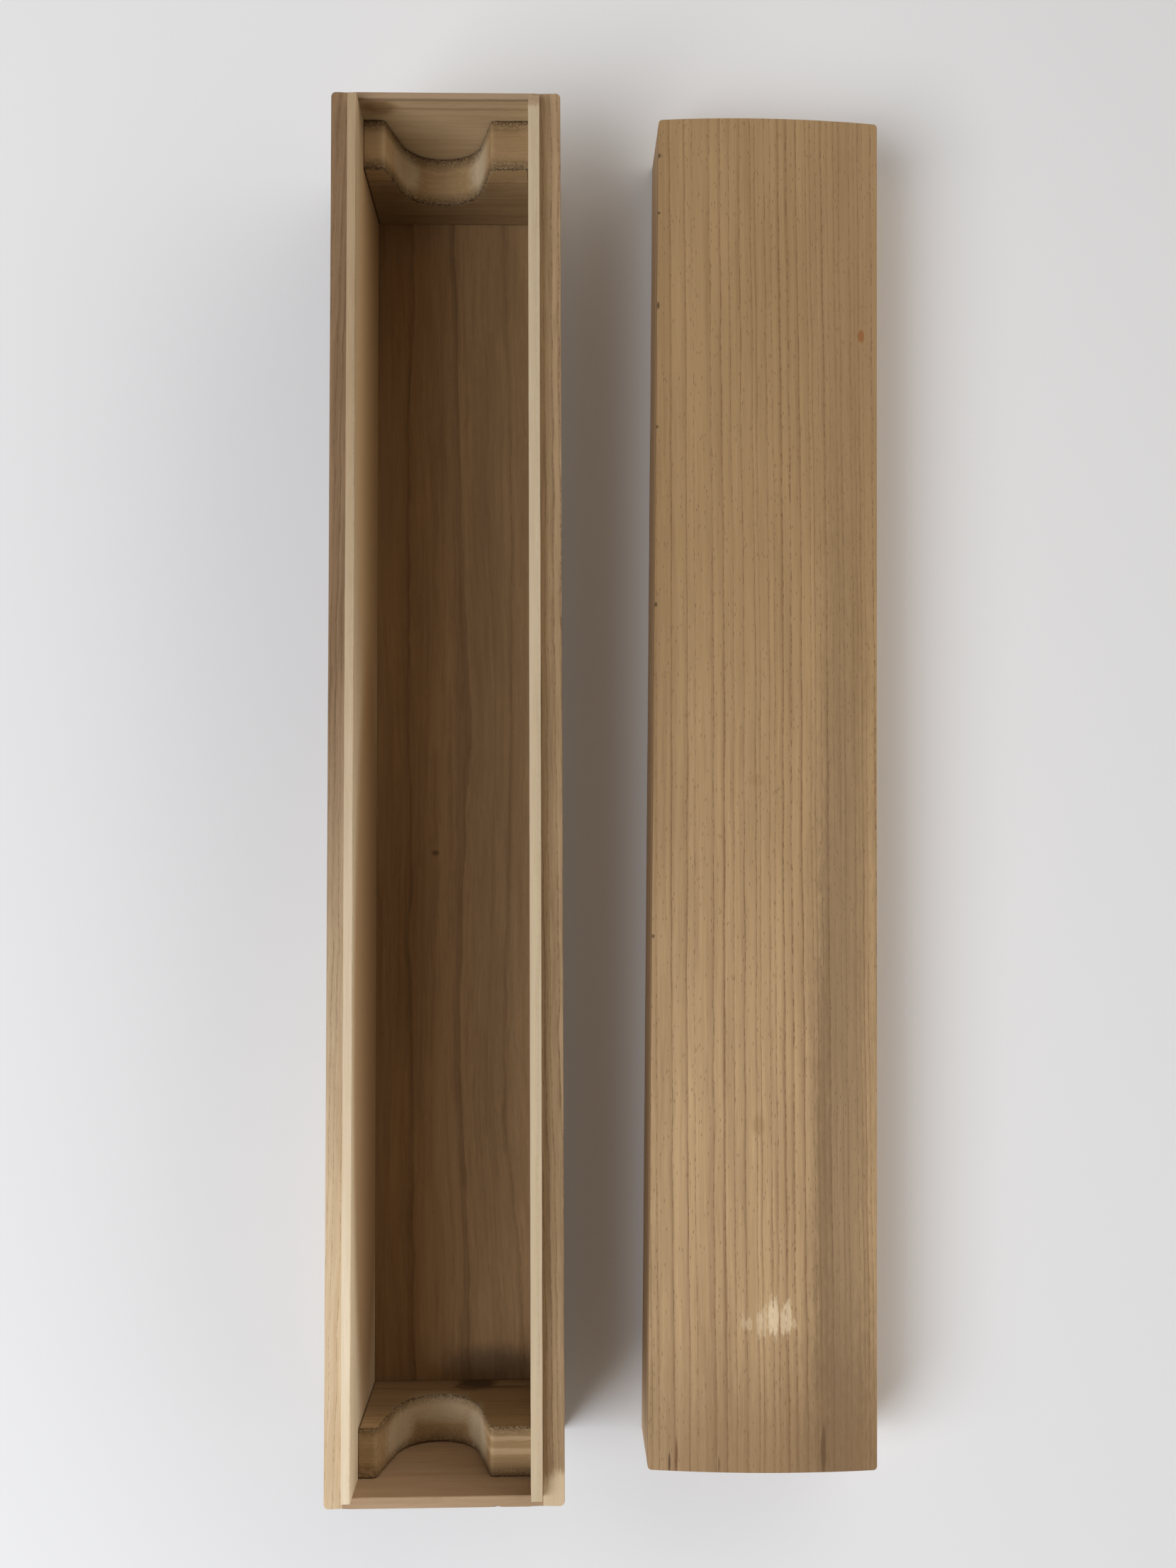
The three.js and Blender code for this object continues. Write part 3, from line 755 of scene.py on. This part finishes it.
def crownedBoard(look):
    # the lid's top: the cube's top rows are lowered to the crown, then all outer edges rounded
    low, high = ownBox(look["node"], lidPlace)
    piece = sawnBoard(look, low, high)
    reach = high.x - look["edgeRadius"] * mm
    rise = look["crown"] * mm
    crownRadius = (reach * reach + rise * rise) / (2 * rise)
    mesh = bmesh.from_edit_mesh(piece.data)
    columns = sorted({round(v.co.x, 6) for v in mesh.verts})
    inColumn = 0.01 * mm  # points this near to a column's place belong to it
    for x in columns:
        bpy.ops.mesh.select_mode(type="VERT")
        bpy.ops.mesh.select_all(action="DESELECT")
        mesh = bmesh.from_edit_mesh(piece.data)
        for v in mesh.verts:
            v.select = v.co.z > high.z - rise and abs(v.co.x - x) < inColumn
        mesh.select_flush_mode()
        bmesh.update_edit_mesh(piece.data)
        drop = crownRadius - math.sqrt(crownRadius ** 2 - x * x)
        bpy.ops.transform.translate(value=(0, 0, -drop))
    roundCorners(piece, low, high, (-1, 1))
    bpy.ops.mesh.select_all(action="DESELECT")
    bpy.ops.mesh.edges_select_sharp(sharpness=math.radians(joinery["sharpAngle"]))
    mesh = bmesh.from_edit_mesh(piece.data)
    weight = mesh.edges.layers.float.new("bevel_weight_edge")
    for edge in mesh.edges:
        start, end = edge.verts[0].co, edge.verts[1].co
        if not edge.select:
            continue
        if min(start.z, end.z) < low.z + rise:
            edge[weight] = joinery["arris"] / look["edgeRadius"]
        elif min(abs(start.x), abs(end.x)) > high.x - onFace:
            edge[weight] = 1
        else:
            edge[weight] = look["endRadius"] / look["edgeRadius"]
    bmesh.update_edit_mesh(piece.data)
    bpy.ops.object.mode_set(mode="OBJECT")
    applyModifier(piece, "BEVEL", {
        "limit_method": "WEIGHT", "width": look["edgeRadius"] * mm, "segments": 6})
    weather(piece, look["wave"], look["waveSize"])
    settle(piece, lidPlace)
    return piece


lidBoard = crownedBoard(lidTop)
dress(lidBoard, lidTop)
print("lid top ready")

# The four strips under it, side walls of the lid
lidStrip = {
    **common, "slot": "lid_side_wood", "body": "lid", "wave": 0.15, "wear": 0.4,
    # the strips are toned paler than the top board: painted light on the lid's left flank, which the box
    # shades
    "far": ("#cbab82", "#8f704f"), "near": ("#cbab82", "#8f704f"),
    "rings": (4, 3.4), "pith": (-60, 0, -80), "wander": 3, "ringDepth": 0.35, "poreDepth": 0.35,
}
lidStrips = [
    {**lidStrip, "name": "lidLeftStrip", "node": "lid_left_strip", "outer": (-1,), "seed": 2.9},
    {**lidStrip, "name": "lidRightStrip", "node": "lid_right_strip", "outer": (1,), "seed": 4.9},
    {**lidStrip, "name": "lidFarStrip", "node": "lid_far_end_strip", "grain": "x", "seed": 6.1,
     "pith": (0, 0, -160)},
    {**lidStrip, "name": "lidNearStrip", "node": "lid_near_end_strip", "grain": "x", "seed": 8.8,
     "pith": (0, 0, -160)},
]
for look in lidStrips:
    dress(plank(look), look)
print("lid strips ready")

# The table: a plain pale floor, larger than the view and a hair under the boards. It is matt white
# paper, which has no shine and shows only soft shadows
tableTop = {"size": 6000, "below": 0.2, "colour": "#dcdcdd", "roughness": 0.9}
bpy.ops.object.select_all(action="DESELECT")
bpy.ops.mesh.primitive_plane_add(size=tableTop["size"] * mm, location=(0, 0, -tableTop["below"] * mm))
table = bpy.context.object
table.name = "paleFloor"
paper = bpy.data.materials.new("matt white paper")
paper.use_nodes = True
paperSurface = paper.node_tree.nodes["Principled BSDF"]
paperSurface.inputs["Base Color"].default_value = linear(tableTop["colour"])
paperSurface.inputs["Roughness"].default_value = tableTop["roughness"]
table.data.materials.append(paper)

# Light, in metres and watts: a large soft window on the left of the near end, in a pale room that
# is dimmer and warmer overhead, brighter on the right and darker beyond the near end
light = {
    "place": (-1.215, -0.736, 1.665), "aim": (0.06, 0, 0.03), "size": 1.6, "power": 49,
    "window": (0.96, 1.0, 1.06), "walls": (0.68, 0.65, 0.61), "overhead": (0.1, 0.078, 0.055),
    "overheadFrom": 0.4, "overheadTo": 0.85, "rightFrom": -0.3, "rightTo": 0.95, "rightTimes": 6.8,
    "nearFrom": -0.9, "nearTimes": 0.1, "farTo": 0.9, "farTimes": 0.8, "backdrop": "#e4e4e4",
}
lampData = bpy.data.lights.new("window", "AREA")
lampData.shape = "SQUARE"
lampData.size = light["size"]
lampData.energy = light["power"]
lampData.color = light["window"]
lamp = bpy.data.objects.new("window", lampData)
bpy.context.scene.collection.objects.link(lamp)
lamp.location = light["place"]
lamp.rotation_euler = (Vector(light["aim"]) - Vector(light["place"])).to_track_quat("-Z", "Y").to_euler()
room = bpy.data.worlds.new("room")
room.use_nodes = True
tree = room.node_tree
tree.nodes.clear()
direction = addNode(tree, "TexCoord")
towards = addNode(tree, "SeparateXYZ", {}, {0: direction.outputs["Generated"]})
overhead = addNode(tree, "MapRange", {
    "interpolation_type": "SMOOTHSTEP", "From Min": light["overheadFrom"], "From Max": light["overheadTo"]},
    {"Value": towards.outputs["Z"]})
walls = addNode(tree, "MixRGB", {"Color1": (*light["walls"], 1), "Color2": (*light["overhead"], 1)},
                {"Fac": overhead})
rightwards = addNode(tree, "MapRange", {
    "From Min": light["rightFrom"], "From Max": light["rightTo"],
    "To Min": 1, "To Max": light["rightTimes"]}, {"Value": towards.outputs["X"]})
farwards = addNode(tree, "MapRange", {
    "From Min": light["nearFrom"], "From Max": light["farTo"],
    "To Min": light["nearTimes"], "To Max": light["farTimes"]}, {"Value": towards.outputs["Y"]})
strength = addNode(tree, "Math", {"operation": "MULTIPLY"}, {0: rightwards, 1: farwards})
glow = addNode(tree, "Background", {}, {"Color": walls, "Strength": strength})
# the camera itself sees a plain pale backdrop beyond the floor
backdrop = addNode(tree, "Background", {"Color": linear(light["backdrop"])})
seen = addNode(tree, "LightPath")
shown = addNode(tree, "MixShader", {}, {0: seen.outputs["Is Camera Ray"], 1: glow, 2: backdrop})
addNode(tree, "OutputWorld", {}, {"Surface": shown})
bpy.context.scene.world = room
print("lamps and floor ready")

# The camera looks down from over the box's right wall, tipped a little. Its place is in metres,
# its tilt in degrees and its lens in mm
view = {
    "place": (0.03829, -0.02678, 0.55492), "tilt": (3.01994, -1.2856, -0.24133), "lens": 32.54,
    "clipStart": 0.01,
}
cameraData = bpy.data.cameras.new("camera")
cameraData.lens = view["lens"]
cameraData.clip_start = view["clipStart"]
camera = bpy.data.objects.new("camera", cameraData)
bpy.context.scene.collection.objects.link(camera)
camera.location = view["place"]
camera.rotation_euler = [math.radians(a) for a in view["tilt"]]
bpy.context.scene.camera = camera
bpy.context.scene.view_settings.view_transform = "Standard"
